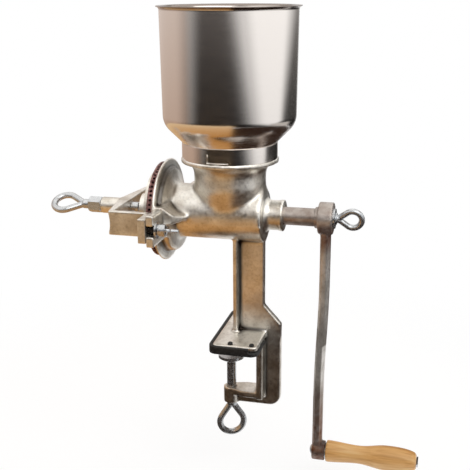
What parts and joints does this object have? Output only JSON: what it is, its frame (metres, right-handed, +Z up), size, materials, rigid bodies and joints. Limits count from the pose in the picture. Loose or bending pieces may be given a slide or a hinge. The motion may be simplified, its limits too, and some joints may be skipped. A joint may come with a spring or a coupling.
{
  "type": "hand grain mill",
  "caption": "Clamp-on hand mill for grain: sheet hopper over a cast barrel with a feed screw, a pair of burrs set by an eye screw, and a crank with a wooden grip.",
  "frame": {"origin": "on the clamp screw axis, in the underside of the jaw pad, which rests on the table", "axes": "+X along the shaft towards the crank, +Y away from the front, +Z up along the clamp screw"},
  "size_m": [0.398, 0.1702, 0.4744],
  "materials": {
    "tinned_iron": "hot-tinned casting, satin",
    "hopper_steel": "satin sheet",
    "burr_iron": "bare, dark red-brown",
    "plated_steel": "zinc plated",
    "black_steel": "blackened",
    "turned_wood": "clear varnish",
    "black_rubber": "matt"
  },
  "bodies": {
    "frame": {"body_casting": "tinned_iron", "fixed_burr": "burr_iron", "fixed_burr_screws": "plated_steel", "bridge": "tinned_iron", "near_bridge_bolt": "black_steel", "far_bridge_bolt": "black_steel", "jaw_pad": "black_rubber"},
    "hopper": {"hopper_bowl": "hopper_steel", "hopper_collar": "hopper_steel"},
    "thrust": {"thrust_ball": "plated_steel"},
    "adjuster": {"adjusting_screw": "plated_steel", "lock_nut": "plated_steel"},
    "rotor": {"feed_screw": "tinned_iron", "rotor_plate": "tinned_iron", "turning_burr": "burr_iron", "turning_burr_screws": "plated_steel", "drive_pin": "plated_steel", "crank_arm": "tinned_iron", "grip_pin": "plated_steel", "grip_washer": "plated_steel"},
    "handle": {"grip": "turned_wood"},
    "crank_clip": {"crank_washer": "plated_steel"},
    "crank_eye": {"crank_screw": "plated_steel"},
    "clamp_swivel": {"swivel_pad": "plated_steel"},
    "clamp_eye": {"clamp_screw": "plated_steel"},
    "near_clip": {"near_washer": "plated_steel"},
    "near_nut": {"near_wing_nut": "plated_steel"},
    "far_clip": {"far_washer": "plated_steel"},
    "far_nut": {"far_wing_nut": "plated_steel"}
  },
  "joints": [
    {"name": "hopper_lift", "type": "slide", "parent": "frame", "child": "hopper", "axis": [0, 0, 1], "range_m": [0, 0.06]},
    {"name": "burr_gap", "type": "slide", "parent": "frame", "child": "thrust", "axis": [-1, 0, 0], "range_m": [0, 0.003]},
    {"name": "adjust_turn", "type": "hinge", "parent": "thrust", "child": "adjuster", "pos_m": [-0.15, 0, 0.134], "axis": [-1, 0, 0], "range_deg": [0, 720.1]},
    {"name": "crank_turn", "type": "hinge", "parent": "thrust", "child": "rotor", "pos_m": [0.05, 0, 0.134], "axis": [1, 0, 0], "continuous": true},
    {"name": "grip_turn", "type": "hinge", "parent": "rotor", "child": "handle", "pos_m": [0.15, 0, -0.124], "axis": [1, 0, 0], "continuous": true},
    {"name": "crank_screw_travel", "type": "slide", "parent": "rotor", "child": "crank_clip", "axis": [1, 0, 0], "range_m": [0, 0.005]},
    {"name": "crank_screw_turn", "type": "hinge", "parent": "crank_clip", "child": "crank_eye", "pos_m": [0.11, 0, 0.134], "axis": [1, 0, 0], "range_deg": [0, 1440.1]},
    {"name": "clamp_travel", "type": "slide", "parent": "frame", "child": "clamp_swivel", "axis": [0, 0, -1], "range_m": [0, 0.027]},
    {"name": "clamp_turn", "type": "hinge", "parent": "clamp_swivel", "child": "clamp_eye", "pos_m": [0, 0, -0.07], "axis": [0, 0, -1], "range_deg": [0, 6480.1]},
    {"name": "near_nut_travel", "type": "slide", "parent": "frame", "child": "near_clip", "axis": [1, 0, 0], "range_m": [0, 0.004]},
    {"name": "near_nut_turn", "type": "hinge", "parent": "near_clip", "child": "near_nut", "pos_m": [-0.05, -0.0685, 0.131], "axis": [1, 0, 0], "range_deg": [0, 1152.1]},
    {"name": "far_nut_travel", "type": "slide", "parent": "frame", "child": "far_clip", "axis": [1, 0, 0], "range_m": [0, 0.004]},
    {"name": "far_nut_turn", "type": "hinge", "parent": "far_clip", "child": "far_nut", "pos_m": [-0.05, 0.0685, 0.131], "axis": [1, 0, 0], "range_deg": [0, 1152.1]}
  ],
  "couplings": [
    {"joint": "adjust_turn", "follows": "burr_gap", "rad_per_m": 4188.8},
    {"joint": "crank_screw_turn", "follows": "crank_screw_travel", "rad_per_m": 5026.5},
    {"joint": "clamp_turn", "follows": "clamp_travel", "rad_per_m": 4188.8},
    {"joint": "near_nut_turn", "follows": "near_nut_travel", "rad_per_m": 5026.5},
    {"joint": "far_nut_turn", "follows": "far_nut_travel", "rad_per_m": 5026.5}
  ]
}
